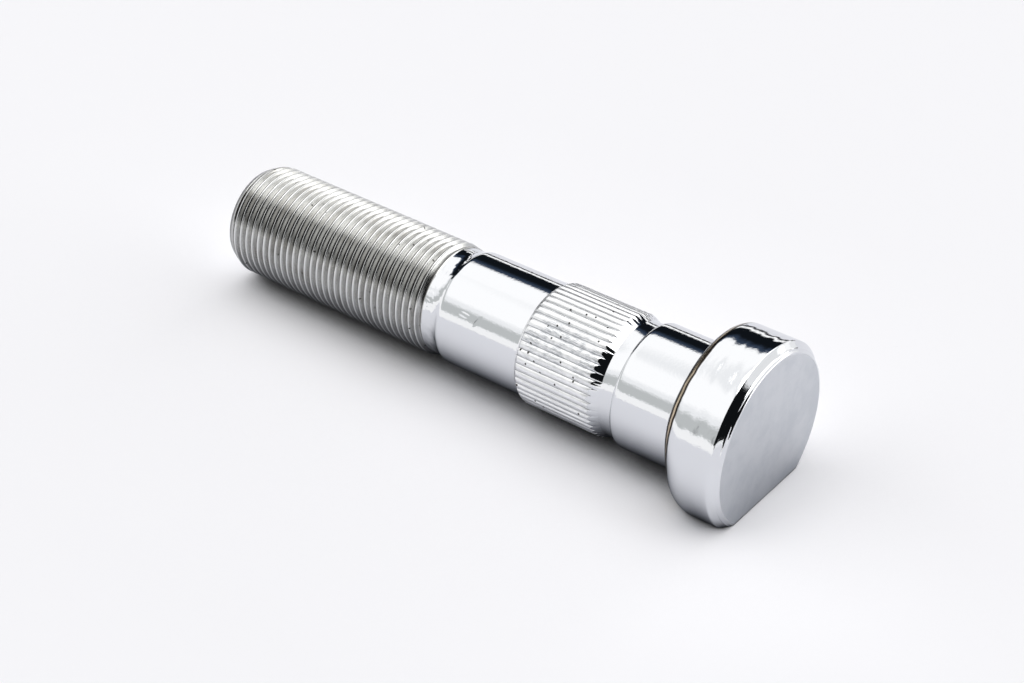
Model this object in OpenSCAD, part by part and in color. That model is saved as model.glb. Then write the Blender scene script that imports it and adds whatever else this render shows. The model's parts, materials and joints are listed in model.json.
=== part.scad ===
// Press-in wheel stud: one forged steel piece, lying as it comes to rest on a flat floor.
// It is drawn upright, with its tip at z = 0 and its head at the top, and then laid along +X.

/* [Thread] */
// Diameter over the crests of the M22 x 1.5 thread
thread_d = 21.86; // [21.7:0.02:21.96]
// Length from the end face to the start of the relief behind the thread
thread_l = 48.4; // [40:0.2:50]
// Diameter of the end face
tip_d = 19.4; // [18:0.2:20.6]
// Length of the chamfer at the end face
tip_l = 2.4; // [1:0.1:4]

/* [Relief] */
// Diameter of the relief behind the thread
relief_d = 20.8; // [20:0.1:21.4]
// Length of the slope from the last thread down to the relief
runout_l = 0.6; // [0.3:0.1:1]
// Radius of the hollow curve that climbs from the relief to the shank
flare_r = 2.2; // [1:0.1:3]

/* [Shank] */
// Diameter of the plain shank
shank_d = 22; // [22:0.05:22.2]
// Distance from the end face to the shank
shank_start = 52.5; // [52.5:0.1:56]

/* [Serration] */
// Distance from the end face to the serration
serration_start = 70.5; // [66:0.1:74]
// Length of the serration at its full height
serration_l = 15.2; // [11:0.2:15.8]
// Diameter over the teeth
serration_d = 23.6; // [23.2:0.1:23.8]
// Diameter at the bottom of the grooves
groove_d = 22.5; // [22.3:0.1:22.8]
// Number of straight teeth
teeth = 50; // [36:1:60]
// Share of the pitch between the two shoulders of a groove
groove_share = 0.44; // [0.2:0.02:0.6]
// How much lower the shoulders of a tooth are than its crest
shoulder_drop = 0.13; // [0.05:0.01:0.2]
// Length of the slope at the end nearer the thread
lead_in = 0.9; // [0.4:0.1:1.5]
// Length of the slope at the end nearer the head
lead_out = 1.3; // [0.6:0.1:1.5]

/* [Collar] */
// Diameter of the collar under the head
collar_d = 23.8; // [23.8:0.05:24]
// Length of the collar, with its rounding
collar_l = 13.8; // [10:0.2:14]
// Radius of the rounding at the collar's free end
collar_round = 0.9; // [0.3:0.1:0.9]
// Radius of the hollow corner between collar and head
seat_fillet = 0.5; // [0.3:0.1:0.8]

/* [Head] */
// Diameter of the head
head_d = 35; // [34:0.5:40]
// Thickness of the head
head_h = 11.9; // [8:0.1:14]
// Distance from the axis to the flat cut on the head
flat_offset = 12.3; // [12.3:0.1:13]
// Radius of the rounding round the back of the head
back_round = 3.2; // [1:0.1:4]
// Radius of the rounding round the front of the head
face_round = 1.6; // [0.5:0.1:3]

/* [Hidden] */
$fn = 120;
thread_r = thread_d / 2;
tip_r = tip_d / 2;
relief_r = relief_d / 2;
shank_r = shank_d / 2;
collar_r = collar_d / 2;
serration_r = serration_d / 2;
groove_r = groove_d / 2;
head_r = head_d / 2;

// The hollow curve stops just short of the shank's surface, so the shank keeps a crisp edge
edge_step = 0.05;
// Height that the hollow curve climbs, and the length that it takes
flare_rise = shank_r - edge_step - relief_r;
flare_l = sqrt(2 * flare_r * flare_rise - flare_rise * flare_rise);

// Stations along the axis, counted from the end face
serration_full = serration_start + lead_in;
serration_end = serration_full + serration_l;
head_back = 105.3;
collar_start = head_back - collar_l;
total_l = head_back + head_h;

// Angle of one tooth with its groove
pitch_a = 360 / teeth;

// The stud rests on the first thread and on the back edge of its flat
rest_tilt = atan((flat_offset - thread_r) / (head_back - tip_l));
rest_lift = flat_offset * cos(rest_tilt) - head_back * sin(rest_tilt);
x_low = -tip_r * sin(rest_tilt);
x_high = total_l * cos(rest_tilt) + flat_offset * sin(rest_tilt);
rest_x = -(x_low + x_high) / 2;

// A point of the tooth outline at a radius and an angle
function polar(r, a) = [r * cos(a), r * sin(a)];

// Outline of the serration: V grooves between broad teeth with domed crests
module tooth_outline() {
    half_groove = pitch_a * groove_share / 2;
    polygon([
        for (i = [0 : teeth - 1])
            for (p = [
                polar(groove_r, i * pitch_a),
                polar(serration_r - shoulder_drop, i * pitch_a + half_groove),
                polar(serration_r, (i + 0.5) * pitch_a),
                polar(serration_r - shoulder_drop, (i + 1) * pitch_a - half_groove)
            ]) p
    ]);
}

// Straight teeth, sloped at both ends down to the shank
module serration() {
    intersection() {
        translate([0, 0, serration_start])
            linear_extrude(lead_in + serration_l + lead_out) tooth_outline();
        union() {
            translate([0, 0, serration_start]) cylinder(h = lead_in, r1 = shank_r, r2 = serration_r + 0.01);
            translate([0, 0, serration_full]) cylinder(h = serration_l, r = serration_r + 0.01);
            translate([0, 0, serration_end]) cylinder(h = lead_out, r1 = serration_r + 0.01, r2 = shank_r);
        }
    }
}

// Thread blank with its chamfer, and the relief behind it
module thread_blank() {
    cylinder(h = tip_l, r1 = tip_r, r2 = thread_r);
    translate([0, 0, tip_l]) cylinder(h = thread_l - tip_l, r = thread_r);
    translate([0, 0, thread_l]) cylinder(h = runout_l, r1 = thread_r, r2 = relief_r);
    translate([0, 0, thread_l]) relief();
}

// Relief with the hollow curve that climbs from it to the edge of the shank
module relief() {
    relief_l = shank_start - thread_l;
    rotate_extrude() difference() {
        square([shank_r, relief_l]);
        translate([relief_r, -1]) square([flare_r, relief_l - flare_l + 1]);
        translate([relief_r + flare_r, relief_l - flare_l]) circle(r = flare_r);
    }
}

// Collar with its rounded free end
module collar() {
    rotate_extrude() {
        translate([0, collar_start]) square([collar_r - collar_round, collar_l]);
        translate([0, collar_start + collar_round]) square([collar_r, collar_l - collar_round]);
        translate([collar_r - collar_round, collar_start + collar_round]) circle(r = collar_round);
    }
}

// Hollow corner between the collar and the back of the head
module seat_corner() {
    rotate_extrude() translate([0, head_back - seat_fillet]) difference() {
        square([collar_r + seat_fillet, seat_fillet + 0.1]);
        translate([collar_r + seat_fillet, 0]) circle(r = seat_fillet);
    }
}

// Round head with both rims rounded, and one side cut off flat
module head() {
    difference() {
        union() {
            round_head();
            seat_corner();
        }
        translate([flat_offset, -head_r, head_back - 1]) cube([head_r, head_d, head_h + 2]);
    }
}

// The head before its flat is cut
module round_head() {
    rotate_extrude() translate([0, head_back]) {
        square([head_r - back_round, head_h]);
        translate([0, back_round]) square([head_r - face_round, head_h - back_round]);
        translate([0, back_round]) square([head_r, head_h - back_round - face_round]);
        translate([head_r - back_round, back_round]) circle(r = back_round);
        translate([head_r - face_round, head_h - face_round]) circle(r = face_round);
    }
}

// The whole stud, upright, with the flat of the head towards +X
module upright_stud() {
    thread_blank();
    translate([0, 0, shank_start]) cylinder(h = head_back - shank_start, r = shank_r);
    serration();
    collar();
    head();
}

// The stud laid along +X, its flat and its first thread on the floor
module wheel_stud() {
    color("silver")
        translate([rest_x, 0, rest_lift]) rotate([0, 90 - rest_tilt, 0]) upright_stud();
}

wheel_stud();
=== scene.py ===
# %% [markdown]
# This lesson dresses one press-in wheel stud, forged from a steel bar and plated bright.
# Its solid has every real size, so the first step loads it as a fixed frame.
# Nothing here moves or resizes it: the sizes below come from its mounts or repeat its source.

# %% Frame
import json

import bpy
import numpy as np
from mathutils import Matrix


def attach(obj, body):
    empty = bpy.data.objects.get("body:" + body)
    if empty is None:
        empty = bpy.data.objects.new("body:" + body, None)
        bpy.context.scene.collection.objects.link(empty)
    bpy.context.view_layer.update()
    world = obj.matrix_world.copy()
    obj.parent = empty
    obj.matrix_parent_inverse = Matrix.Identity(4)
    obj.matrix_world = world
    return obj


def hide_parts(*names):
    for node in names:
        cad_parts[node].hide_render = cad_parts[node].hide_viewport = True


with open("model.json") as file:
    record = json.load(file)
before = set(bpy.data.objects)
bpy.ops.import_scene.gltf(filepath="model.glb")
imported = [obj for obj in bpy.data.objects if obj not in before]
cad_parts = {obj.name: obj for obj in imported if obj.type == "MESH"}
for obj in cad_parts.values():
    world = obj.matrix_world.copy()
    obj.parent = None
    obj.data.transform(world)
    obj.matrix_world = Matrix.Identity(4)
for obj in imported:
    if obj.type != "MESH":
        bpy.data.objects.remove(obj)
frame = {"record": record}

scene = bpy.context.scene
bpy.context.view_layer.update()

# %% [markdown]
# A stud is easiest to describe by stations along its axis, in millimetres from its threaded end.
# It could be drawn upright and then turned, but every step must allow for the turn.
# Here one function puts each point where it lies, by the axis and the main radii that the
# mounts of the record give. The flat of the head points down, so an angle of zero is down too.

# %% Stations and radii
MM = 0.001
mount = {m["name"]: m for m in frame["record"]["mounts"]}
THREAD_R = mount["thread"]["dims"]["r_mm"]
SHANK_R = mount["shank"]["dims"]["r_mm"]
TOOTH_R = mount["serration"]["dims"]["r_mm"]
COLLAR_R = mount["collar"]["dims"]["r_mm"]
AXIS = np.array(mount["head_face"]["axis"])
DOWN = np.array(mount["head_flat"]["axis"])
ACROSS = np.array([0.0, 1.0, 0.0])
FACE_CENTRE = np.array(mount["head_face"]["pos_m"]) / MM
TOTAL_L = 117.2


def place(station, radius, angle):
    """World points in metres: along the axis by the station, then out from it by the radius,
    at an angle that starts at the flat's side and turns towards the far side of the stud."""
    along = (station - TOTAL_L)[..., None] * AXIS
    out = np.sin(angle)[..., None] * ACROSS + np.cos(angle)[..., None] * DOWN
    return (FACE_CENTRE + along + radius[..., None] * out) * MM


print("axis", AXIS, "face centre at", FACE_CENTRE, "mm")
print("radii: thread", THREAD_R, "shank", SHANK_R, "teeth", TOOTH_R, "collar", COLLAR_R, "mm")

# %% [markdown]
# The whole stud is one piece of metal, so its skin is one closed mesh. It could be joined from
# cylinders by boolean modifiers, but those leave uneven faces, which spoil a mirror finish.
# So it is collected grid by grid: each step below adds its points and the faces between them.
# A face also remembers its finish: rolled, turned and forged skins look different.

# %% The skin's notebook
ROLLED, TURNED, KNURLED, RIM, FORGED = 0, 1, 2, 3, 4
points, faces, finishes = [], [], []
COLUMNS = 120
ring_angle = np.linspace(0, 2 * np.pi, COLUMNS, endpoint=False)


def add_points(station, radius, angle):
    """Stores a grid of points and gives back the number of each."""
    station, radius, angle = np.broadcast_arrays(station, radius, angle)
    first = sum(len(block) for block in points)
    points.append(place(station, radius, angle).reshape(-1, 3))
    return np.arange(first, first + station.size).reshape(station.shape)


def add_rings(profile):
    """Stores one level ring of points for each (station, radius) of a profile."""
    return add_points(profile[:, :1], profile[:, 1:], ring_angle)


def add_faces(corners, finish):
    """Stores one face for each row of corner numbers; the finish is one number or one for each."""
    faces.extend(corners.tolist())
    finishes.extend(np.broadcast_to(finish, len(corners)).tolist())


def add_quads(grid, finish):
    """Four-cornered faces between neighbouring rows; the last column meets the first again."""
    right = np.roll(grid, -1, axis=1)
    corners = np.stack([grid[:-1], right[:-1], right[1:], grid[1:]], axis=-1)
    add_faces(corners.reshape(-1, 4), finish)


print("the skin has", COLUMNS, "columns,", 360 / COLUMNS, "degrees apart")

# %% [markdown]
# The thread was rolled: hard dies pressed a groove into the blank and raised the metal beside it.
# Its section has flanks 60 degrees apart, a crest an eighth of the pitch wide and a rounded root.
# It could be drawn as an outline and swept, but a function of station and angle lets the end
# chamfer cut it and the run-out fade it at any place.

# %% Thread profile
PITCH, THREAD_DEPTH, CREST_AT = 1.5, 0.92, 1.275
CREST_HALF, FLANK_SLOPE = PITCH / 16, np.sqrt(3)
CREST_ROUND, ROOT_ROUND, CHAMFER_BLEND = 0.03, 0.05, 0.015
TIP_R, TIP_L = 9.7, 2.4
BLANK_R = 10.4
RUNOUT_START, RUNOUT_END = 47.9, 48.6


def smooth(t):
    """A smooth step from zero to one: three times t squared less two times t cubed."""
    return t * t * (3 - 2 * t)


def soft_min(a, b, width):
    """The smaller of two values, with the corner between them rounded over about the width."""
    return (a + b) / 2 - np.sqrt(((a - b) / 2) ** 2 + width ** 2)


def thread_radius(station, angle):
    """Crest radius less the groove's depth. The depth grows by the flank's slope from the edge of
    a narrow crest and stops at a rounded root; the end chamfer cuts it and the run-out fades it."""
    phase = (station - CREST_AT - PITCH * angle / (2 * np.pi) + PITCH / 2) % PITCH - PITCH / 2
    flank = (np.abs(phase) - CREST_HALF) * FLANK_SLOPE
    depth = soft_min(-soft_min(-flank, 0, CREST_ROUND), THREAD_DEPTH, ROOT_ROUND)
    height = THREAD_R - np.clip(depth, 0, THREAD_DEPTH)
    fade = smooth(np.clip((station - RUNOUT_START) / (RUNOUT_END - RUNOUT_START), 0, 1))
    chamfer = TIP_R + (THREAD_R - TIP_R) * station / TIP_L
    return soft_min(height * (1 - fade) + BLANK_R * fade, chamfer, CHAMFER_BLEND)


print("thread: crests at", THREAD_R, "mm, roots at", round(THREAD_R - THREAD_DEPTH, 2), "mm")

# %% [markdown]
# A true helix climbs one pitch in each turn, and a plain stack of rings can't do that.
# Blender's Screw modifier can, but it knows no run-out. So the grid itself is sheared: each row
# follows the helix, and after one turn it meets the row one pitch further on.
# Sixteen rows in a turn, close together on crest and root, keep both crisp.

# %% Thread grid
TURNS, FIRST_ROW = 32, 0.12
TURNED_FROM = RUNOUT_END - 0.1
row_steps = np.array([0.0, 0.105, 0.195, 0.285, 0.36, 0.435, 0.525, 0.63,
                      0.78, 0.93, 1.005, 1.095, 1.155, 1.215, 1.29, 1.36])
per_turn = len(row_steps)
rows = (row_steps + PITCH * np.arange(TURNS)[:, None]).ravel()
rows = np.append(rows, PITCH * TURNS) + FIRST_ROW
station = rows[:, None] + PITCH * ring_angle / (2 * np.pi)
helix = add_points(station, thread_radius(station, ring_angle), ring_angle)
seam_station = rows[-1] + np.append(row_steps[1:], PITCH)
seam = add_points(seam_station, thread_radius(seam_station, 0.0), 0.0)
start_line = np.concatenate([helix[:, 0], seam])
end_line = start_line[per_turn:]

climbing = np.stack([helix[:-1, :-1], helix[:-1, 1:], helix[1:, 1:], helix[1:, :-1]], axis=-1)
climbing_finish = np.where(station[:-1, :-1] > TURNED_FROM, TURNED, ROLLED)
add_faces(climbing.reshape(-1, 4), climbing_finish.ravel())
closing = np.stack([helix[:-1, -1], end_line[:-1], end_line[1:], helix[1:, -1]], axis=-1)
add_faces(closing, ROLLED)
print("thread:", len(rows), "helical rows,", TURNS, "turns,", len(faces), "faces")

# %% [markdown]
# The end face was pressed flat, with a small rounding at its edge. It is a set of level rings
# round one middle point. They could stop short of the climbing rows and leave a gap, but a closed
# skin needs a joint: a wedge-shaped strip, and one face with many corners for the step that is
# left between the last and the first column. The shank joins the thread's far end in the same way.

# %% End face and the first joint of the thread
# Station and radius of each ring, from the middle outwards; the first four rings are flat
tip_profile = np.array([[0.0, 2.5], [0.0, 5.5], [0.0, 8.5], [0.0, 9.45], [0.03, 9.6], [0.1, 9.74]])
FLAT_RINGS = 4


def add_cap(ring, station, finish, outwards):
    """Three-cornered faces from one middle point to a ring; outwards is +1 or -1 on the axis."""
    middle = np.full(len(ring), add_points(np.array([station]), 0.0, 0.0)[0])
    add_faces(np.stack([middle, ring, np.roll(ring, -1)], axis=-1)[:, ::outwards], finish)


def add_wedge(near, far, finish):
    """A strip of faces between two rings that stays open between the last and first column."""
    add_faces(np.stack([near[:-1], near[1:], far[1:], far[:-1]], axis=-1), finish)


tip = add_rings(tip_profile)
add_quads(tip[:FLAT_RINGS], FORGED)
add_quads(tip[FLAT_RINGS - 1:], ROLLED)
add_cap(tip[0], 0.0, FORGED, outwards=-1)
add_wedge(tip[-1], helix[0], ROLLED)
step = [tip[-1, -1], tip[-1, 0], *start_line[:per_turn + 1], helix[0, -1]]
add_faces(np.array([step]), ROLLED)
print("end face:", tip.shape, "rings and columns; the step has", len(step), "corners")

# %% [markdown]
# Behind the thread the blank keeps its rolling diameter, then a hollow curve climbs to the shank
# and a small round shoulder ends it. The two arcs meet at one slope, which follows from the climb.
# A bevel could round the same edge, but arcs give the long soft curve in which the real neck
# mirrors the room. The shank itself is ground smooth.

# %% Relief and shank
SHANK_START, SERRATION_START = 52.5, 70.5
FLARE_R, SHOULDER_R, SHOULDER_PAST = 4.4, 1.6, 0.4
NECK_START = 49.95
LACE_GAP = 0.12


def arc(station, radius, size, start, stop, count):
    """Points of a circle in the section: centre plus size times (cosine, sine) of each angle,
    where the cosine runs along the axis and the sine runs outwards. Angles are in degrees."""
    a = np.radians(np.linspace(start, stop, count))
    return np.stack([station + size * np.cos(a), radius + size * np.sin(a)], axis=-1)


def wall(stations, radius):
    """Points of a straight wall in the section: the same radius at each station."""
    return np.stack([stations, np.full(len(stations), radius)], axis=-1)


slope = np.degrees(np.arccos(1 - (SHANK_R - BLANK_R) / (FLARE_R + SHOULDER_R)))
shoulder_end = SHANK_START + SHOULDER_PAST
flare_start = shoulder_end - (FLARE_R + SHOULDER_R) * np.sin(np.radians(slope))
shank_stations = np.linspace(shoulder_end + 0.3, SERRATION_START - 0.6, 12)
shank = add_rings(np.concatenate([
    wall(np.linspace(NECK_START, flare_start - 0.1, 4), BLANK_R),
    arc(flare_start, BLANK_R + FLARE_R, FLARE_R, -90, -90 + slope, 8),
    arc(shoulder_end, SHANK_R - SHOULDER_R, SHOULDER_R, 90 + slope, 90, 7)[1:],
    wall(np.append(shank_stations, SERRATION_START - LACE_GAP), SHANK_R),
]))
add_quads(shank, TURNED)
add_wedge(helix[-1], shank[0], TURNED)
step = [helix[-1, -1], *end_line[-1:-per_turn - 2:-1], shank[0, 0], shank[0, -1]]
add_faces(np.array([step]), TURNED)
print("shank:", shank.shape, "rings and columns; the flare climbs by", round(slope, 1), "degrees")

# %% [markdown]
# The serration is fifty straight teeth that bite into the hub's hole and stop the stud turning.
# Each tooth is a low ridge with a domed crest, and a sharp narrow groove parts it from the next.
# A bump in the material could shade them, but their outline and their sloped ends would stay
# round, so they are real. A seeded draw makes them a little unequal, as pressed teeth are.

# %% Tooth shape
TEETH, TOOTH_ROOT_R, TOOTH_POWER = 50, 11.45, 2.5
UNEVEN_HEIGHT, TOOTH_BURR, FINE_BURR = 0.012, 0.12, 0.05
# Places across the pitch of a tooth, closer together at the groove, where its height bends
groove_places = np.array([0.0, 0.045, 0.10, 0.17, 0.27, 0.38, 0.5, 0.62, 0.73, 0.83, 0.90, 0.955])
draw = np.random.default_rng(22)


def tooth_height(place_in_pitch):
    """Tooth radius: the crest less a power of the distance from the crest, which is one at the
    groove. The power of 2.5 keeps the crest broad and lets the flanks fall steeply."""
    from_crest = np.abs(2 * place_in_pitch - 1)
    return TOOTH_R - (TOOTH_R - TOOTH_ROOT_R) * from_crest ** TOOTH_POWER


even = np.tile(tooth_height(groove_places), TEETH)
uneven = np.repeat(draw.normal(0, UNEVEN_HEIGHT, TEETH), len(groove_places))
height = even + uneven * (even - TOOTH_ROOT_R) / (TOOTH_R - TOOTH_ROOT_R)
height = np.minimum(height, TOOTH_R)
burr = np.repeat(draw.normal(0, TOOTH_BURR, TEETH), len(groove_places))
burr = burr + draw.normal(0, FINE_BURR, len(height))
print("teeth:", round(2 * np.pi * TOOTH_R / TEETH, 2), "mm apart, up to", height.max(), "mm")

# %% [markdown]
# Both ends of the serration slope down to the shank. Cutting them off by a cone would give the
# teeth level ends. Here the end rows follow each tooth's own height down the slope, and at the
# head's side a burr shifts them too, which gives the zigzag edge of the real thing.
# Two close rows, the outer one slightly lower, keep the edge of each end crisp.

# %% Serration
LEAD_IN, SERRATION_END, LEAD_OUT = 0.9, 86.8, 1.9
EDGE_OUT, EDGE_IN, EDGE_DROP = 0.03, 0.05, 0.02
CREST_ROWS = 9
fine_angle = (np.arange(TEETH)[:, None] + groove_places).ravel() * 2 * np.pi / TEETH
share = (height - SHANK_R) / (TOOTH_R - SHANK_R)
start = SERRATION_START + LEAD_IN * share
stop = SERRATION_END + LEAD_OUT * (1 - share) + burr * share
between = start + (stop - start) * np.linspace(0, 1, CREST_ROWS)[1:-1, None]
level = np.ones_like(height)
stations = np.stack([SERRATION_START * level, start - EDGE_OUT, start + EDGE_IN, *between,
                     stop - EDGE_IN, stop + EDGE_OUT, (SERRATION_END + LEAD_OUT) * level])
radii = np.stack([SHANK_R * level, height - EDGE_DROP, *[height] * (len(stations) - 4),
                  height - EDGE_DROP, SHANK_R * level])
teeth = add_points(stations, radii, fine_angle)
add_quads(teeth[:-1], KNURLED)
add_quads(teeth[-2:], TURNED)
print("serration:", TEETH, "teeth,", teeth.size, "points")

# %% [markdown]
# The serration has five times as many columns as the rest. The finer count could run through the
# whole stud, at five times the faces. A lace of eight-cornered faces leads from one count to the
# other instead: it lies on the smooth shank, where its faces are all but flat.

# %% Lace between the shank and the teeth
FINE = teeth.shape[1] // COLUMNS


def add_lace(coarse, fine, finish, fine_first):
    """Faces from each stretch of the coarse ring to its several stretches of the fine ring."""
    first_of_stretch = np.arange(len(coarse))[:, None] * FINE
    many = np.append(fine, fine[0])[first_of_stretch + np.arange(FINE + 1)]
    few = np.stack([coarse, np.roll(coarse, -1)], axis=-1)
    both = [many, few[:, ::-1]] if fine_first else [few, many[:, ::-1]]
    add_faces(np.concatenate(both, axis=1), finish)


add_lace(shank[-1], teeth[0], TURNED, fine_first=False)
print("lace:", COLUMNS, "faces of", FINE + 3, "corners")

# %% [markdown]
# The collar fills the hub's bore under the head. A cylinder with bevelled edges could do, but the
# corner at the head is hollow, so it is drawn as the profile that the lathe gave it. The shank in
# front of it rises by a few hundredths of a millimetre, where the tool came out of the corner.

# %% Collar
COLLAR_START, COLLAR_ROUND = 91.5, 0.9
HEAD_BACK, SEAT_FILLET = 105.3, 0.3
# Station and radius of the rings between the serration and the collar
neck = np.array([[SERRATION_END + LEAD_OUT + LACE_GAP, SHANK_R],
                 [COLLAR_START - 1.6, SHANK_R],
                 [COLLAR_START - 0.5, SHANK_R + 0.03],
                 [COLLAR_START - 0.06, SHANK_R + 0.06]])
collar = add_rings(np.concatenate([
    neck,
    arc(COLLAR_START + COLLAR_ROUND, COLLAR_R - COLLAR_ROUND, COLLAR_ROUND, 176, 90, 9),
    wall(np.linspace(COLLAR_START + 1.6, HEAD_BACK - SEAT_FILLET, 9), COLLAR_R),
    arc(HEAD_BACK - SEAT_FILLET, COLLAR_R + SEAT_FILLET, SEAT_FILLET, -72, 0, 5),
]))
add_quads(collar, TURNED)
add_lace(collar[0], teeth[-1], TURNED, fine_first=True)
print("collar:", collar.shape, "rings and columns")

# %% [markdown]
# The head is cold forged, and one side of it is cut flat, so that it can't turn beside the hub.
# A boolean cut would leave slivers along the flat's edge. Here the radius is simply the smaller
# of the disc's and the flat's. The corner between them lies at another angle in each ring, so
# the columns are moved until one runs exactly along it, with close neighbours on both sides.

# %% Columns that follow the flat
HEAD_R, FLAT = 17.5, 12.3
CORNER_COLUMN, CORNER_GAP = COLUMNS // 8, 0.5
LEAST_COSINE = 0.05


def moved_columns(radius):
    """Angle of each column in rings of this radius. The corner column lies where the ring leaves
    the flat, at the arc cosine of flat over radius, and the others are spread evenly between."""
    corner = np.degrees(np.arccos(np.clip(FLAT / radius, -1, 1)))
    column = np.arange(COLUMNS)
    k = np.minimum(column, COLUMNS - column)
    below = (corner - CORNER_GAP) * k / (CORNER_COLUMN - 1)
    beyond = (k - CORNER_COLUMN - 1) / (COLUMNS // 2 - CORNER_COLUMN - 1)
    above = corner + CORNER_GAP + (180 - corner - CORNER_GAP) * beyond
    half = np.where(k < CORNER_COLUMN, below, np.where(k == CORNER_COLUMN, corner, above))
    return np.radians(np.where(column <= COLUMNS // 2, half, 360 - half))


def cut_by_flat(radius, angle, inset=0.0):
    """The smaller of the radius and the flat's distance over the cosine of the angle from it."""
    towards = np.cos(angle)
    reach = (FLAT - inset) / np.clip(towards, LEAST_COSINE, None)
    return np.minimum(radius, np.where(towards > LEAST_COSINE, reach, HEAD_R))


print("the flat's corner lies at", round(np.degrees(np.arccos(FLAT / HEAD_R)), 2), "degrees")

# %% [markdown]
# Three bands follow each other round the head: the seat that presses on the hub's flange, the
# rounding at the back, and the rim. They could be one revolved outline, but a real forging isn't
# perfectly even: the rounding is larger at the flat than at the top. So each band is worked out
# as rows of stations, radii and angles, with the rounding's own radius in each column.

# %% Seat, rear rounding and rim of the head
BACK_ROUND_LOW, BACK_ROUND_HIGH = 4.8, 2.1
SHRINK_FROM, SHRINK_TO = 85, 125
FACE_CHAMFER, CHAMFER_ROUND = 1.6, 0.45

from_flat = np.degrees(np.minimum(ring_angle, 2 * np.pi - ring_angle))
shrink = smooth(np.clip((from_flat - SHRINK_FROM) / (SHRINK_TO - SHRINK_FROM), 0, 1))
back_round = BACK_ROUND_LOW + (BACK_ROUND_HIGH - BACK_ROUND_LOW) * shrink

seat_inner = COLLAR_R + SEAT_FILLET
f = np.array([0.25, 0.6, 0.9, 1.0])[:, None]
seat_angle = moved_columns(HEAD_R - back_round)
seat_edge = cut_by_flat(HEAD_R - back_round, seat_angle)
seat_rows = np.broadcast_arrays(HEAD_BACK, seat_inner + (seat_edge - seat_inner) * f,
                                ring_angle + (seat_angle - ring_angle) * f)

turn = np.radians(np.linspace(8, 90, 10))[:, None]
back_radius = HEAD_R - back_round * (1 - np.sin(turn))
back_angle = moved_columns(back_radius)
back_rows = [HEAD_BACK + back_round * (1 - np.cos(turn)),
             cut_by_flat(back_radius, back_angle), back_angle]

set_back = CHAMFER_ROUND * np.tan(np.radians(22.5))
rim_start, rim_stop = HEAD_BACK + back_round, TOTAL_L - FACE_CHAMFER - set_back
f = np.linspace(0.12, 1, 8)[:, None]
rim_angle = moved_columns(HEAD_R)
rim_rows = np.broadcast_arrays(rim_start + (rim_stop - rim_start) * f,
                               cut_by_flat(HEAD_R, rim_angle), rim_angle)
print("head: rear rounding", BACK_ROUND_LOW, "mm at the flat,", BACK_ROUND_HIGH, "at the top")

# %% [markdown]
# A chamfer of 45 degrees leads from the rim to the face, with both of its edges rounded.
# The forging die has left a thin raised line along it, broken in seven places. A bump could
# shade the line, but it stands out against the black that the chamfer mirrors, so it is raised
# in the mesh, by rows that lie close together.

# %% Chamfer with the die's line
CREASE_IN, CREASE_WIDTH, CREASE_HEIGHT = 1.10, 0.08, 0.10
GAPS, GAP_AT, GAP_COSINE, GAP_STEEPNESS = 7, np.radians(225), 0.93, 4
outer = arc(rim_stop, HEAD_R - CHAMFER_ROUND, CHAMFER_ROUND, 90, 45, 5)[1:]
inner = arc(TOTAL_L - CHAMFER_ROUND, HEAD_R - FACE_CHAMFER - set_back, CHAMFER_ROUND, 45, 0, 5)
crease_rows = CREASE_IN + CREASE_WIDTH * np.linspace(-2, 2, 7)
depth_in = np.array([0.3, 0.5, 0.7, 0.85, *crease_rows, 1.35])
chamfer = np.stack([TOTAL_L - FACE_CHAMFER + depth_in, HEAD_R - depth_in], axis=-1)
edge = np.concatenate([outer, chamfer, inner])

unbroken = GAP_STEEPNESS * (GAP_COSINE - np.cos(GAPS * (ring_angle - GAP_AT)))
from_line = (edge[:, 1:] - (HEAD_R - CREASE_IN)) / CREASE_WIDTH
lift = CREASE_HEIGHT * np.exp(-from_line ** 2) * np.clip(unbroken, 0, 1) / np.sqrt(2)
edge_angle = moved_columns(edge[:, 1:])
# The flat's own edge at the face is eased by a tenth of a millimetre
inset = np.where(edge[:, :1] > TOTAL_L - 0.01, 0.1, 0.0)
edge_rows = [edge[:, :1] + lift, cut_by_flat(edge[:, 1:] + lift, edge_angle, inset), edge_angle]
print("chamfer:", len(edge), "rows; the line rises by", CREASE_HEIGHT, "mm")

# %% [markdown]
# The face is flat, and its stamped marks are left off. It could be one face with many corners,
# but rings that shrink towards a middle point shade more evenly. Then the bands of the head
# become one grid, and the skin is closed.

# %% Face and skin of the head
f = np.array([0.985, 0.93, 0.85, 0.7, 0.5, 0.25])[:, None]
side_rows = [np.concatenate(parts) for parts in zip(seat_rows, back_rows, rim_rows, edge_rows)]
head = add_points(*side_rows)
face = add_points(TOTAL_L, side_rows[1][-1] * f, side_rows[2][-1])
add_quads(np.concatenate([collar[-1:], head[:1]]), TURNED)
add_quads(head, RIM)
add_quads(np.concatenate([head[-1:], face]), FORGED)
add_cap(face[-1], TOTAL_L, FORGED, outwards=1)
print("head:", head.shape, "rings and columns, and", len(face), "rings on its face")

# %% [markdown]
# The stud is one forging, so the points become one mesh, which stands for the solid and rides
# with it. They could be entered in edit mode one by one, but a mesh takes whole lists at once.
# A hole would spoil an export, so the edges that don't have exactly two faces are counted.

# %% One closed mesh
all_points = np.concatenate(points)
mesh = bpy.data.meshes.new("plated_stud")
mesh.from_pydata(all_points.tolist(), [], faces)
mesh.polygons.foreach_set("material_index", finishes)
mesh.polygons.foreach_set("use_smooth", np.ones(len(faces), bool))
mesh.update()
stud = bpy.data.objects.new("plated_stud", mesh)
scene.collection.objects.link(stud)
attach(stud, "root")
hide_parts("wheel_stud")

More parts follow.
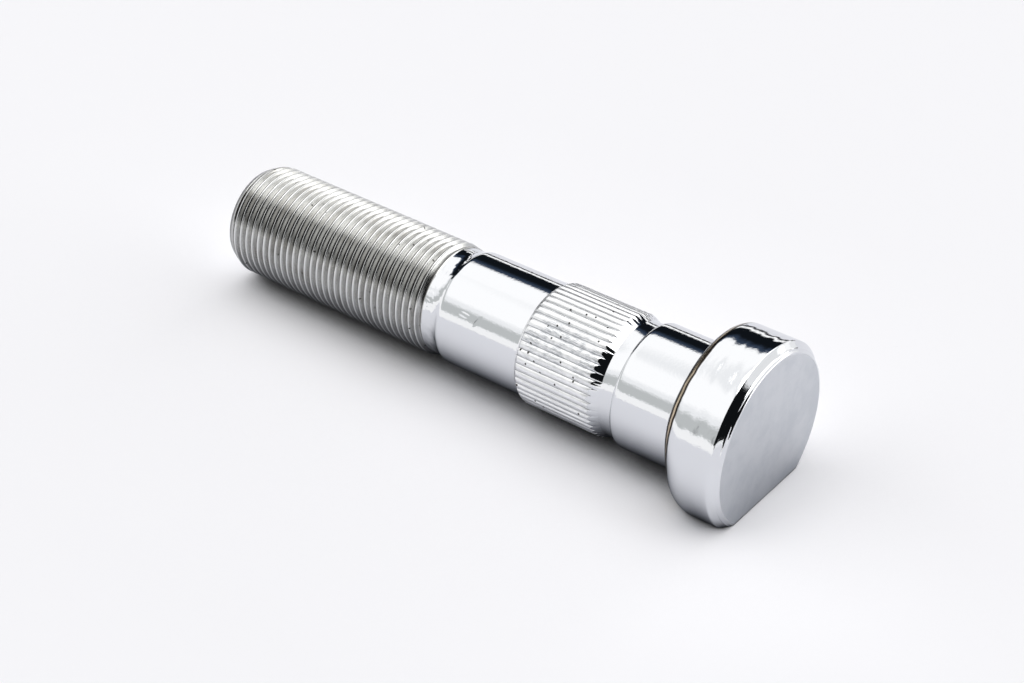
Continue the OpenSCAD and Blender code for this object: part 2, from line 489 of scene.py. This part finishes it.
corner_edges = np.empty(len(mesh.loops), dtype=np.int32)
mesh.loops.foreach_get("edge_index", corner_edges)
open_edges = np.count_nonzero(np.bincount(corner_edges, minlength=len(mesh.edges)) != 2)
print("mesh:", len(all_points), "points,", len(mesh.loops) - 2 * len(faces), "triangles,",
      open_edges, "edges without two faces")

# %% [markdown]
# A material is a handful of linked nodes. They could be placed by hand in the shader editor, but
# one small function that adds a node with its settings and links can be run again and again.
# Colours are written as the eye knows them, in sRGB hex, and turned to linear light once.
# The first of them is the plating: bright zinc over steel, nearly white with a breath of grey.

# %% Node and colour helpers


def linear(hex_colour):
    """sRGB to linear light: each channel over 255, then the standard power curve."""
    c = np.array([int(hex_colour[i:i + 2], 16) / 255 for i in (0, 2, 4)])
    c = np.where(c <= 0.04045, c / 12.92, ((c + 0.055) / 1.055) ** 2.4)
    return (*[float(v) for v in c], 1.0)


def add_node(tree, kind, inputs=None, **settings):
    """Adds a node, makes its settings, and fills or links its inputs, by number or by the name of
    an input in use. A node given as an input stands for the first of its outputs in use."""
    node = tree.nodes.new("ShaderNode" + kind)
    for name, value in settings.items():
        setattr(node, name, value)
    for name, value in (inputs or {}).items():
        socket = node.inputs[name] if isinstance(name, int) else next(
            s for s in node.inputs if s.enabled and s.name == name)
        if isinstance(value, bpy.types.Node):
            value = next(s for s in value.outputs if s.enabled)
        if isinstance(value, bpy.types.NodeSocket):
            tree.links.new(value, socket)
        else:
            socket.default_value = value
    return node


def new_tree(owner):
    """An empty node tree for a material or a world."""
    owner.use_nodes = True
    owner.node_tree.nodes.clear()
    return owner.node_tree


# Settings that many nodes share: soft steps, and mixing colours
SMOOTH, COLOURS = {"interpolation_type": "SMOOTHSTEP"}, {"data_type": "RGBA"}
PLATE = linear("E4E5E7")
print("the plating in linear light:", [round(v, 3) for v in PLATE[:3]])

# %% [markdown]
# Marks and grain follow the turned shape, so the materials need places on the stud itself:
# how far along the axis, and at which angle round it. They could be stored in the mesh as an
# attribute, but nodes work them out at every pixel. Object coordinates lie level with the floor,
# and a Mapping node takes out the lean of the stud, which is less than a degree.

# %% Places on the stud
LEAN = float(np.arctan2(AXIS[2], AXIS[0]))
TURN_BACK = np.array([[np.cos(LEAN), 0, np.sin(LEAN)], [0, 1, 0], [-np.sin(LEAN), 0, np.cos(LEAN)]])
SHIFT = np.array([TOTAL_L, 0, 0]) - TURN_BACK @ FACE_CENTRE
SKIN_R = 11.0


def stud_places(tree):
    """Places in mm: the point itself, its station, its distance from the axis, its height above
    the near side's middle in degrees (90 is the top), and its place on the unrolled skin, which
    is the station and the girth, that angle times the radius of 11 mm."""
    where = add_node(tree, "TexCoord").outputs["Object"]
    point = add_node(tree, "VectorMath", {0: where, 1: (1 / MM,) * 3}, operation="MULTIPLY")
    own = add_node(tree, "Mapping", {
        "Vector": point, "Location": tuple(SHIFT), "Rotation": (0.0, LEAN, 0.0)})
    parts = add_node(tree, "SeparateXYZ", {"Vector": own})
    across = add_node(tree, "VectorMath", {0: own, 1: (0.0, 1.0, 1.0)}, operation="MULTIPLY")
    radius = add_node(tree, "VectorMath", {0: across}, operation="LENGTH")
    near = add_node(tree, "Math", {0: parts.outputs["Y"], 1: -1.0}, operation="MULTIPLY")
    turn = add_node(tree, "Math", {0: parts.outputs["Z"], 1: near}, operation="ARCTAN2")
    degrees = add_node(tree, "Math", {0: turn}, operation="DEGREES")
    girth = add_node(tree, "Math", {0: turn, 1: SKIN_R}, operation="MULTIPLY")
    skin = add_node(tree, "CombineXYZ", {"X": parts.outputs["X"], "Y": girth})
    return {"point": point, "station": parts.outputs["X"], "radius": radius,
            "degrees": degrees, "skin": skin}


def new_finish(name):
    """The node tree of the mesh's next material, and its places on the stud."""
    material = bpy.data.materials.new(name)
    mesh.materials.append(material)
    tree = new_tree(material)
    return tree, stud_places(tree)


print("the materials turn by", round(np.degrees(LEAN), 3), "degrees")

# %% [markdown]
# The plating has a few dark pits, where dirt or a bubble kept the zinc off. They could be painted
# by hand, but a cell pattern scatters them: each cell has one seed, and only some cells get a pit.

# %% Pits


def pits(tree, skin, cell, radius, share):
    """Small pits on the skin, in mm: in a random share of cells of that size, one within the
    radius of the cell's seed and zero outside."""
    cells = add_node(tree, "TexVoronoi", {
        "Vector": skin, "Scale": 1 / cell}, voronoi_dimensions="2D")
    red = add_node(tree, "SeparateColor", {"Color": cells.outputs["Color"]})
    chosen = add_node(tree, "Math", {0: red, 1: share}, operation="LESS_THAN")
    inside = add_node(tree, "MapRange", {
        "Value": cells, "From Min": radius / cell, "From Max": 0.5 * radius / cell}, **SMOOTH)
    return add_node(tree, "Math", {0: chosen, 1: inside}, operation="MULTIPLY")


print("the unrolled skin is", round(2 * np.pi * SKIN_R, 1), "mm round")

# %% [markdown]
# The thread was rolled after turning and keeps the die's fine grain across each flank, so the
# metal there is satin: it gathers the room into soft streaks and lets the sharp crests flash.
# Painted shade darkens the roots, and a painted highlight lightens the crests. Root and crest
# could be materials of their own, but the distance from the axis tells them apart more finely
# than the faces do.

# %% Rolled thread finish
# The real grain, a few hundredths of a millimetre, is too fine to show, so it is drawn 0.33 mm
# long on the axis and 0.15 mm round it. A cloud of duller zinc is about 4 mm wide.
GRAINS_PER_MM = (3.0, 6.6, 1.0)
CLOUDS_PER_MM = 0.26
ROOT_FADE = (THREAD_R - 0.72, THREAD_R - 0.90)
CREST_FADE = (THREAD_R - 0.18, THREAD_R - 0.05)
tree, at = new_finish("rolled_zinc_plated_thread")
stretched = add_node(tree, "Mapping", {"Vector": at["skin"], "Scale": GRAINS_PER_MM})
grain = add_node(tree, "TexNoise", {"Vector": stretched, "Scale": 1.0, "Roughness": 0.6})
cloud = add_node(tree, "TexNoise", {"Vector": at["point"], "Scale": CLOUDS_PER_MM, "Detail": 3.0})
cloudy = add_node(tree, "MapRange", {"Value": cloud, "From Min": 0.40, "From Max": 0.70}, **SMOOTH)
flank = add_node(tree, "Mix", {
    "Factor": cloudy, "A": linear("C5C5C3"), "B": linear("B4B3B0")}, **COLOURS)
# Painted shade: the colour darkens towards the roots, by the distance from the axis
low = add_node(tree, "MapRange", {
    "Value": at["radius"], "From Min": ROOT_FADE[0], "From Max": ROOT_FADE[1]}, **SMOOTH)
painted_hollow_shade = add_node(tree, "Mix", {"Factor": low, "A": flank, "B": linear("6E6D6B")}, **COLOURS)
# Painted highlight: the colour lightens towards the crests, by the distance from the axis
high = add_node(tree, "MapRange", {
    "Value": at["radius"], "From Min": CREST_FADE[0], "From Max": CREST_FADE[1]}, **SMOOTH)
bright = add_node(tree, "Mix", {"Factor": high, "A": painted_hollow_shade, "B": linear("E8E8E6")}, **COLOURS)
dark_pits = pits(tree, at["skin"], cell=2.0, radius=0.20, share=0.09)
colour = add_node(tree, "Mix", {
    "Factor": dark_pits, "A": bright, "B": linear("2E2B28")}, **COLOURS)
rough = add_node(tree, "MapRange", {"Value": grain, "To Min": 0.12, "To Max": 0.28})
normal = add_node(tree, "Bump", {"Height": grain, "Distance": 0.006 * MM})
metal = add_node(tree, "BsdfPrincipled", {
    "Base Color": colour, "Metallic": 1.0, "Roughness": rough, "Normal": normal})
add_node(tree, "OutputMaterial", {"Surface": metal})
print("thread finish:", len(tree.nodes), "nodes")

# %% [markdown]
# Shank and collar were turned and polished before plating, so they mirror the room sharply,
# with a faint ripple that shows only where the mirrored room goes from black to white.
# The neck beside the thread was only rolled: its skin is wavy and breaks reflections up.
# Neither shows in the outline, so both are bumps, not shapes in the mesh.

# %% Turned and polished finish: ripple and waves
RIPPLES_PER_MM, RIPPLE_DEPTH = 2.4, 0.010
WAVES_PER_MM, WAVE_DEPTH = 0.55, 0.16
NECK_FADE = (52.9, 51.6)
tree, at = new_finish("polished_zinc_plated_steel")
ripple = add_node(tree, "TexNoise", {"Vector": at["point"], "Scale": RIPPLES_PER_MM})
normal = add_node(tree, "Bump", {"Height": ripple, "Distance": RIPPLE_DEPTH * MM})
waves = add_node(tree, "TexNoise", {"Vector": at["point"], "Scale": WAVES_PER_MM, "Detail": 1.5})
on_neck = add_node(tree, "MapRange", {
    "Value": at["station"], "From Min": NECK_FADE[0], "From Max": NECK_FADE[1]}, **SMOOTH)
normal = add_node(tree, "Bump", {
    "Height": waves, "Strength": on_neck, "Distance": WAVE_DEPTH * MM, "Normal": normal})
print("width of a ripple", round(1 / RIPPLES_PER_MM, 2), "and a wave", round(1 / WAVES_PER_MM, 1))

# %% [markdown]
# Two handling marks cross the shank: a shallow oval dent and a slanted nick. Each is an ellipse
# on the unrolled skin. They are a few hundredths of a millimetre deep and bend only what the
# metal mirrors, so they stay in the material too.

# %% Turned and polished finish: two marks
GIRTH_PER_DEGREE = SKIN_R * np.pi / 180


def mark(station, degrees, half_length, half_width, slant):
    """One in the middle of a mark, zero from its rim on: an ellipse round its middle on the skin,
    in mm, that is turned by the slant in degrees from the axis."""
    off = add_node(tree, "Mapping", {
        "Vector": at["skin"], "Location": (station, degrees * GIRTH_PER_DEGREE, 0.0),
        "Rotation": (0.0, 0.0, np.radians(slant)),
        "Scale": (half_length, half_width, 1.0)}, vector_type="TEXTURE")
    distance = add_node(tree, "VectorMath", {0: off}, operation="LENGTH")
    return add_node(tree, "MapRange", {
        "Value": distance, "From Min": 1.0, "From Max": 0.1}, **SMOOTH)


dent = mark(station=57.9, degrees=31.5, half_length=2.1, half_width=0.75, slant=-2)
nick = mark(station=60.9, degrees=30.0, half_length=1.7, half_width=0.52, slant=62)
normal = add_node(tree, "Bump", {
    "Height": dent, "Distance": 0.07 * MM, "Normal": normal}, invert=True)
normal = add_node(tree, "Bump", {
    "Height": nick, "Distance": 0.045 * MM, "Normal": normal}, invert=True)
metal = add_node(tree, "BsdfPrincipled", {
    "Base Color": PLATE, "Metallic": 1.0, "Roughness": 0.045, "Normal": normal})
add_node(tree, "OutputMaterial", {"Surface": metal})
print("polished finish:", len(tree.nodes), "nodes")

# %% [markdown]
# The teeth were pressed in after turning. Their skin is burnished but streaked along the stroke,
# so each tooth is a soft white band rather than a mirror, and it is duller in a worn patch on the
# near side. Painted shade darkens the narrow grooves, which the distance from the axis tells from
# the crests. The streaks could be an image, but a noise that is stretched on the skin has no seam.

# %% Pressed serration finish
# Real streaks are finer: they are drawn 1.3 mm long and 0.14 mm wide, so that they show
STREAKS_PER_MM = (0.8, 7.0, 1.0)
WORN_CLOUDS_PER_MM = 0.35
PATCH_AT, PATCH_FADE, WORN_ELSEWHERE = 42.0, (30.0, 6.0), 0.25
GROOVE_FADE = (TOOTH_ROOT_R + 0.11, TOOTH_ROOT_R + 0.03)
GROOVE_SHADE_FADE = (SERRATION_START + 0.4, SERRATION_START + 0.5)
tree, at = new_finish("pressed_zinc_plated_teeth")
stretched = add_node(tree, "Mapping", {"Vector": at["skin"], "Scale": STREAKS_PER_MM})
streaks = add_node(tree, "TexNoise", {
    "Vector": stretched, "Scale": 1.0, "Detail": 4.0, "Roughness": 0.65})
cloud = add_node(tree, "TexNoise", {
    "Vector": at["point"], "Scale": WORN_CLOUDS_PER_MM, "Detail": 3.0})
worn = add_node(tree, "MapRange", {"Value": cloud, "From Min": 0.34, "From Max": 0.54}, **SMOOTH)
streaky = add_node(tree, "MapRange", {"Value": streaks, "From Min": 0.40, "From Max": 0.62})
from_patch = add_node(tree, "Math", {0: at["degrees"], 1: PATCH_AT}, operation="SUBTRACT")
off_patch = add_node(tree, "Math", {0: from_patch}, operation="ABSOLUTE")
on_patch = add_node(tree, "MapRange", {
    "Value": off_patch, "From Min": PATCH_FADE[0], "From Max": PATCH_FADE[1],
    "To Min": WORN_ELSEWHERE}, **SMOOTH)
dull = add_node(tree, "Math", {0: worn, 1: streaky}, operation="MULTIPLY")
dull = add_node(tree, "Math", {0: dull, 1: on_patch}, operation="MULTIPLY")
crest = add_node(tree, "Mix", {
    "Factor": dull, "A": linear("F8F8F8"), "B": linear("B2B5B9")}, **COLOURS)
# Painted shade: the grooves darken towards the axis, from just past the start of the serration
low = add_node(tree, "MapRange", {
    "Value": at["radius"], "From Min": GROOVE_FADE[0], "From Max": GROOVE_FADE[1]}, **SMOOTH)
along = add_node(tree, "MapRange", {
    "Value": at["station"], "From Min": GROOVE_SHADE_FADE[0], "From Max": GROOVE_SHADE_FADE[1]})
groove = add_node(tree, "Math", {0: low, 1: along}, operation="MULTIPLY")
painted_hollow_shade = add_node(tree, "Mix", {"Factor": groove, "A": crest, "B": linear("A0A2A6")}, **COLOURS)
dark_pits = pits(tree, at["skin"], cell=1.7, radius=0.24, share=0.16)
colour = add_node(tree, "Mix", {"Factor": dark_pits, "A": painted_hollow_shade, "B": linear("26231F")}, **COLOURS)
normal = add_node(tree, "Bump", {"Height": streaks, "Distance": 0.02 * MM})
metal = add_node(tree, "BsdfPrincipled", {
    "Base Color": colour, "Metallic": 1.0, "Roughness": 0.30, "Normal": normal})
add_node(tree, "OutputMaterial", {"Surface": metal})
print("serration finish:", len(tree.nodes), "nodes")

# %% [markdown]
# The head's rim keeps the waves of its forging under the bright plate. They run round the rim and
# are only hundredths of a millimetre deep, yet they pull every reflected edge into drips.
# Waves in the mesh would need far smaller faces, so a stretched noise bumps the rim instead.
# Below the parting line of the dies it is smooth.

# %% Forged rim finish: drips
# A drip is about 2.2 mm wide along the axis and, at the rim's own radius, 7 mm long round it
DRIPS_PER_MM, DRIP_DEPTH = (0.45, 0.22, 1.0), 0.15
PARTING_LINE, REAR_EDGE = (19.5, 22.5), (106.6, 108.0)
tree, at = new_finish("forged_zinc_plated_rim")
ripple = add_node(tree, "TexNoise", {"Vector": at["point"], "Scale": RIPPLES_PER_MM})
normal = add_node(tree, "Bump", {"Height": ripple, "Distance": RIPPLE_DEPTH * MM})
stretched = add_node(tree, "Mapping", {"Vector": at["skin"], "Scale": DRIPS_PER_MM})
drips = add_node(tree, "TexNoise", {
    "Vector": stretched, "Scale": 1.0, "Detail": 1.0, "Roughness": 0.35})
above_line = add_node(tree, "MapRange", {
    "Value": at["degrees"], "From Min": PARTING_LINE[0], "From Max": PARTING_LINE[1]}, **SMOOTH)
off_edge = add_node(tree, "MapRange", {
    "Value": at["station"], "From Min": REAR_EDGE[0], "From Max": REAR_EDGE[1]}, **SMOOTH)
wavy = add_node(tree, "Math", {0: above_line, 1: off_edge}, operation="MULTIPLY")
normal = add_node(tree, "Bump", {
    "Height": drips, "Strength": wavy, "Distance": DRIP_DEPTH * MM, "Normal": normal})
print("the waves fade in between", PARTING_LINE, "degrees and stations", REAR_EDGE)

# %% [markdown]
# The rear edge of the rim carries painted shade and a painted reflection of the dark corner
# between collar and head: it is dark, then tan in the middle, then dark again. It could be a
# painted mask, but it follows the edge all round, so it depends on the station alone, and a noise
# of about 2 mm frays its borders.

# %% Forged rim finish: painted shade at the rear edge
FRAYS_PER_MM, FRAY = 0.5, 0.4
EDGE_SHADE_START, EDGE_SHADE_END = (105.85, 106.15), (107.45, 107.2)
TAN_AT, TAN_FADE = 106.75, (0.28, 0.08)
uneven_edge = add_node(tree, "TexNoise", {
    "Vector": at["point"], "Scale": FRAYS_PER_MM, "Detail": 3.0})
ragged = add_node(tree, "Math", {
    0: uneven_edge, 1: FRAY, 2: at["station"]}, operation="MULTIPLY_ADD")
# Painted shade and painted reflection: dark between these stations, with a tan band in the middle
before_wall = add_node(tree, "MapRange", {
    "Value": ragged, "From Min": EDGE_SHADE_END[0], "From Max": EDGE_SHADE_END[1]}, **SMOOTH)
past_seat = add_node(tree, "MapRange", {
    "Value": ragged, "From Min": EDGE_SHADE_START[0], "From Max": EDGE_SHADE_START[1]}, **SMOOTH)
painted_edge_shade = add_node(tree, "Math", {0: before_wall, 1: past_seat}, operation="MULTIPLY")
dark = add_node(tree, "Mix", {"Factor": painted_edge_shade, "A": PLATE, "B": linear("2F2822")}, **COLOURS)
off_tan = add_node(tree, "Math", {0: ragged, 1: TAN_AT}, operation="SUBTRACT")
tan_width = add_node(tree, "Math", {0: off_tan}, operation="ABSOLUTE")
tan_band = add_node(tree, "MapRange", {
    "Value": tan_width, "From Min": TAN_FADE[0], "From Max": TAN_FADE[1]}, **SMOOTH)
colour = add_node(tree, "Mix", {"Factor": tan_band, "A": dark, "B": linear("C2B29C")}, **COLOURS)
rough = add_node(tree, "MapRange", {"Value": painted_edge_shade, "To Min": 0.045, "To Max": 0.22})
metal = add_node(tree, "BsdfPrincipled", {
    "Base Color": colour, "Metallic": 1.0, "Roughness": rough, "Normal": normal})
add_node(tree, "OutputMaterial", {"Surface": metal})
print("rim finish:", len(tree.nodes), "nodes")

# %% [markdown]
# The face of the head keeps the skin of the forging die: even, matt and faintly clouded. So does
# the end face at the thread. Its grain could be modelled, but the roughness blurs the room into
# one soft grey, so slightly uneven noise is all that it needs.

# %% Forged face finish
# A grain is about 0.4 mm wide, coarser than the real one, and a cloud about 5.5 mm
FACE_GRAINS_PER_MM, FACE_GRAIN_DEPTH = 2.5, 0.004
FACE_CLOUDS_PER_MM, FACE_CLOUD_DEPTH = 0.18, 0.05
tree, at = new_finish("forged_zinc_plated_face")
grain = add_node(tree, "TexNoise", {
    "Vector": at["point"], "Scale": FACE_GRAINS_PER_MM, "Detail": 4.0})
cloud = add_node(tree, "TexNoise", {
    "Vector": at["point"], "Scale": FACE_CLOUDS_PER_MM, "Detail": 4.0, "Roughness": 0.6})
cloudy = add_node(tree, "MapRange", {"Value": cloud, "From Min": 0.35, "From Max": 0.70}, **SMOOTH)
colour = add_node(tree, "Mix", {
    "Factor": cloudy, "A": linear("D7D9DC"), "B": linear("CCCFD3")}, **COLOURS)
normal = add_node(tree, "Bump", {"Height": grain, "Distance": FACE_GRAIN_DEPTH * MM})
normal = add_node(tree, "Bump", {
    "Height": cloud, "Distance": FACE_CLOUD_DEPTH * MM, "Normal": normal})
metal = add_node(tree, "BsdfPrincipled", {
    "Base Color": colour, "Metallic": 1.0, "Roughness": 0.38, "Normal": normal})
add_node(tree, "OutputMaterial", {"Surface": metal})
print("finishes:", [m.name for m in mesh.materials])

# %% [markdown]
# Polished metal has hardly any colour of its own: what the eye sees is the room in it. The room
# here is a white light tent. It could be built from lamps and cards round the stud, but a world
# that is drawn by direction mirrors the same and stands in nobody's way. First it needs the
# direction of each ray in degrees: its azimuth and elevation.

# %% Directions in the light tent
world = bpy.data.worlds.new("light_tent")
scene.world = world
tree = new_tree(world)
where = add_node(tree, "TexCoord").outputs["Generated"]
split = add_node(tree, "SeparateXYZ", {"Vector": where})
towards = add_node(tree, "Math", {
    0: split.outputs["Y"], 1: split.outputs["X"]}, operation="ARCTAN2")
azimuth = add_node(tree, "Math", {0: towards}, operation="DEGREES")
upwards = add_node(tree, "Math", {0: split.outputs["Z"]}, operation="ARCSINE")
elevation = add_node(tree, "Math", {0: upwards}, operation="DEGREES")
print("azimuth 0 is +X and 90 is +Y")

# %% [markdown]
# The tent is a white roof with sheets laid over it, each with soft edges. The metal shows its
# opening for the camera as black, and the gap at the back too. Two lamps overhead and one
# close to the floor stand where no cylinder mirrors them, and light the grooves of the thread.
# The panels that they do mirror are hardly brighter than the roof.

# %% Sheets of the light tent
ROOF = (1.06, 1.07, 1.08, 1.0)
# Each sheet has its brightness in red, green and blue; middle, half width and softness in
# azimuth; lower and upper edge in elevation; and the softness of those two edges, in degrees
SHEETS = {
    "panel behind the stud": ((1.25, 1.25, 1.25), (135, 45, 16), (42, 62), (5, 8)),
    "panel over the threaded end": ((1.25, 1.25, 1.25), (-140, 42, 16), (34, 60), (6, 8)),
    "lamp overhead": ((3.4, 3.4, 3.4), (0, 200, 10), (69, 100), (5, 4)),
    "lamp behind on the right": ((2.5, 2.5, 2.5), (82, 26, 10), (34, 70), (6, 6)),
    "grey left wall": ((0.62, 0.64, 0.64), (-146, 38, 8), (10.5, 26), (2, 6)),
    "right wall": ((0.95, 0.96, 0.97), (45, 35, 30), (-10, 60), (4, 20)),
    "low lamp in the right wall": ((3.2, 3.2, 3.15), (36, 28, 14), (1, 17), (3, 8)),
    "opening for the camera": ((0.006, 0.007, 0.008), (-50, 59, 9), (2, 70), (1.5, 4)),
    "bright foot of the left wall": ((1.12, 1.12, 1.12), (-122, 60, 10), (-0.5, 9.5), (1, 2)),
    "bright hem at the back": ((1.20, 1.20, 1.20), (120, 60, 12), (4.0, 11), (1, 2)),
    "bluish border of the gap": ((0.04, 0.06, 0.10), (134, 38, 8), (10, 40), (2, 4)),
    "dark gap at the back": ((0.006, 0.008, 0.011), (134, 38, 8), (10, 33), (2, 10)),
    "dark line where the floor ends": ((0.02, 0.02, 0.025), (125, 40, 12), (-3, 4.0), (0.5, 0.8)),
}


def cloth(below, brightness, across, edges, soft):
    """Lays one sheet of the tent over what is there. It covers the azimuths within its half width
    of its middle and the elevations between its edges, and each edge is a smooth step."""
    middle, half, side_soft = across
    off = add_node(tree, "Math", {0: azimuth, 1: middle}, operation="SUBTRACT")
    off = add_node(tree, "Math", {0: off, 1: 180.0, 2: -180.0}, operation="WRAP")
    off = add_node(tree, "Math", {0: off}, operation="ABSOLUTE")
    cover = 1.0
    for value, out, into in ((off, half + side_soft / 2, half - side_soft / 2),
                             (elevation, edges[0] - soft[0] / 2, edges[0] + soft[0] / 2),
                             (elevation, edges[1] + soft[1] / 2, edges[1] - soft[1] / 2)):
        inside = add_node(tree, "MapRange", {
            "Value": value, "From Min": out, "From Max": into}, **SMOOTH)
        cover = add_node(tree, "Math", {0: cover, 1: inside}, operation="MULTIPLY")
    return add_node(tree, "Mix", {"Factor": cover, "A": below, "B": (*brightness, 1.0)}, **COLOURS)


tent = ROOF
for name, sheet in SHEETS.items():
    tent = cloth(tent, *sheet)
    print("tent:", name, "at azimuth", sheet[1][0], "and elevation", sheet[2])

# %% [markdown]
# Only reflections show how bright the sheets are. What lights the floor is the tent's even glow,
# raised until a white floor in the open renders as white. Because of the opening, the floor is
# darker on its side of the stud. The camera itself sees plain white outside the floor. All three
# could be separate scenes, but the Light Path node tells the rays apart in one.

# %% What the tent shows to the camera, to the metal and to the floor
BACKGROUND = linear("F7F6F9")
GLOW_LIMIT, FLOOR_LIGHT = 1.36, 1.49
path = add_node(tree, "LightPath")
glow = add_node(tree, "VectorMath", {0: tent, 1: (GLOW_LIMIT,) * 3}, operation="MINIMUM")
glow = add_node(tree, "VectorMath", {0: glow, 1: (FLOOR_LIGHT,) * 3}, operation="MULTIPLY")
off_floor = add_node(tree, "Math", {
    0: path.outputs["Diffuse Depth"], 1: 0.5}, operation="LESS_THAN")
mirrored = add_node(tree, "Math", {
    0: path.outputs["Is Glossy Ray"], 1: off_floor}, operation="MULTIPLY")
lit = add_node(tree, "Mix", {"Factor": mirrored, "A": glow, "B": tent}, **COLOURS)
seen = add_node(tree, "Mix", {
    "Factor": path.outputs["Is Camera Ray"], "A": lit, "B": BACKGROUND}, **COLOURS)
light = add_node(tree, "Background", {"Color": seen})
add_node(tree, "OutputWorld", {"Surface": light})
print("light tent:", len(tree.nodes), "nodes")

# %% [markdown]
# The floor is a plain white sheet of paper. In the photograph it is exposed to the edge of white,
# which hides the faint outer part of the shadow and deepens the part in the crevice below the
# stud. So its colour holds painted shade: a painted shadow of fixed shape wouldn't follow the
# stud, so the colour darkens where less of the space above is open, and it is painted a little
# lighter round the stud than in the open. The metal mirrors a version without that exposure,
# with deeper painted shade that turns bluish.

# %% Colours of the floor, with painted shade and light
SHADE_REACH, SHADE_SAMPLES = 0.07, 12
# Painted shade and light: the sheet's brightness at each share of open space above
OPEN_PLACES = [0.0, 0.13, 0.23, 0.345, 0.45, 0.54, 0.68, 0.80, 0.90, 1.0]
CAMERA_SHEET_SHADE = np.array([0.0, 0.10, 0.34, 0.86, 0.99, 0.99, 0.978, 0.95, 0.88, 0.84])
METAL_SHEET_SHADE = np.array([0.0, 0.04, 0.10, 0.22, 0.36, 0.52, 0.69, 0.79, 0.80, 0.79])
SHEET_TINT, SHADOW_TINT = np.array([0.998, 0.99, 1.012]), np.array([0.92, 0.96, 1.10])
floor_material = bpy.data.materials.new("white_floor_sheet")
tree = new_tree(floor_material)
openness = add_node(tree, "AmbientOcclusion", {"Distance": SHADE_REACH}, samples=SHADE_SAMPLES)


def shade(brightness, dark_tint):
    """Colours of the sheet over the open places: the brightness times a tint, which goes from the
    dark tint to the sheet's own as the brightness goes from zero to one."""
    ramp_node = add_node(tree, "ValToRGB", {"Fac": openness.outputs["AO"]})
    ramp = ramp_node.color_ramp
    while len(ramp.elements) < len(brightness):
        ramp.elements.new(0.5)
    share = brightness[:, None]
    colours = share * (dark_tint + (SHEET_TINT - dark_tint) * share)
    for element, position, colour in zip(ramp.elements, OPEN_PLACES, colours.tolist()):
        element.position = position
        element.color = (*colour, 1.0)
    return ramp_node


to_camera = shade(CAMERA_SHEET_SHADE, SHEET_TINT)
to_metal = shade(METAL_SHEET_SHADE, SHADOW_TINT)
ray = add_node(tree, "LightPath").outputs["Is Glossy Ray"]
tone = add_node(tree, "Mix", {"Factor": ray, "A": to_camera, "B": to_metal}, **COLOURS)
paper = add_node(tree, "BsdfDiffuse", {"Color": tone})
add_node(tree, "OutputMaterial", {"Surface": paper})
print("floor finish:", len(tree.nodes), "nodes")

# %% [markdown]
# The sheet could be curved up behind the stud like paper in a studio, but the photograph shows no
# bend, so it is one large square.

# %% Floor
FLOOR_HALF = 1.5
corners = np.array([[-1, -1, 0], [1, -1, 0], [1, 1, 0], [-1, 1, 0]]) * FLOOR_HALF
floor_mesh = bpy.data.meshes.new("floor")
floor_mesh.from_pydata(corners.tolist(), [], [[0, 1, 2, 3]])
floor_mesh.materials.append(floor_material)
floor = bpy.data.objects.new("floor", floor_mesh)
scene.collection.objects.link(floor)
print("floor: a sheet of", 2 * FLOOR_HALF, "m")

# %% [markdown]
# The camera stands where the photographer stood: it looks down by about 35 degrees, past the head
# and along the stud to its threaded end. Its place could be guessed by eye, but the thread's even
# pitch shrinks with distance, and together with the edges it fixes place, direction and lens.

# %% Camera
TARGET = np.array([4.03, -1.33, 9.30]) * MM
DISTANCE = 406.6 * MM
PAN, TILT, ROLL = np.radians([36.83, 35.22, 1.34])
LENS, SENSOR = 78.2, 36.0

right = np.array([np.cos(PAN), np.sin(PAN), 0.0])
forward = np.array([-np.sin(PAN) * np.cos(TILT), np.cos(PAN) * np.cos(TILT), -np.sin(TILT)])
up = np.cross(right, forward)
rolled_right = np.cos(ROLL) * right + np.sin(ROLL) * up
rolled_up = np.cross(rolled_right, forward)
stand = np.eye(4)
stand[:3, 0], stand[:3, 1], stand[:3, 2] = rolled_right, rolled_up, -forward
stand[:3, 3] = TARGET - DISTANCE * forward
camera_data = bpy.data.cameras.new("camera")
camera_data.lens = LENS
camera_data.sensor_width = SENSOR
camera = bpy.data.objects.new("camera", camera_data)
camera.matrix_world = Matrix(stand.tolist())
scene.collection.objects.link(camera)
scene.camera = camera
scene.view_settings.view_transform = "Standard"
print("camera at", stand[:3, 3].round(4).tolist(), "m")
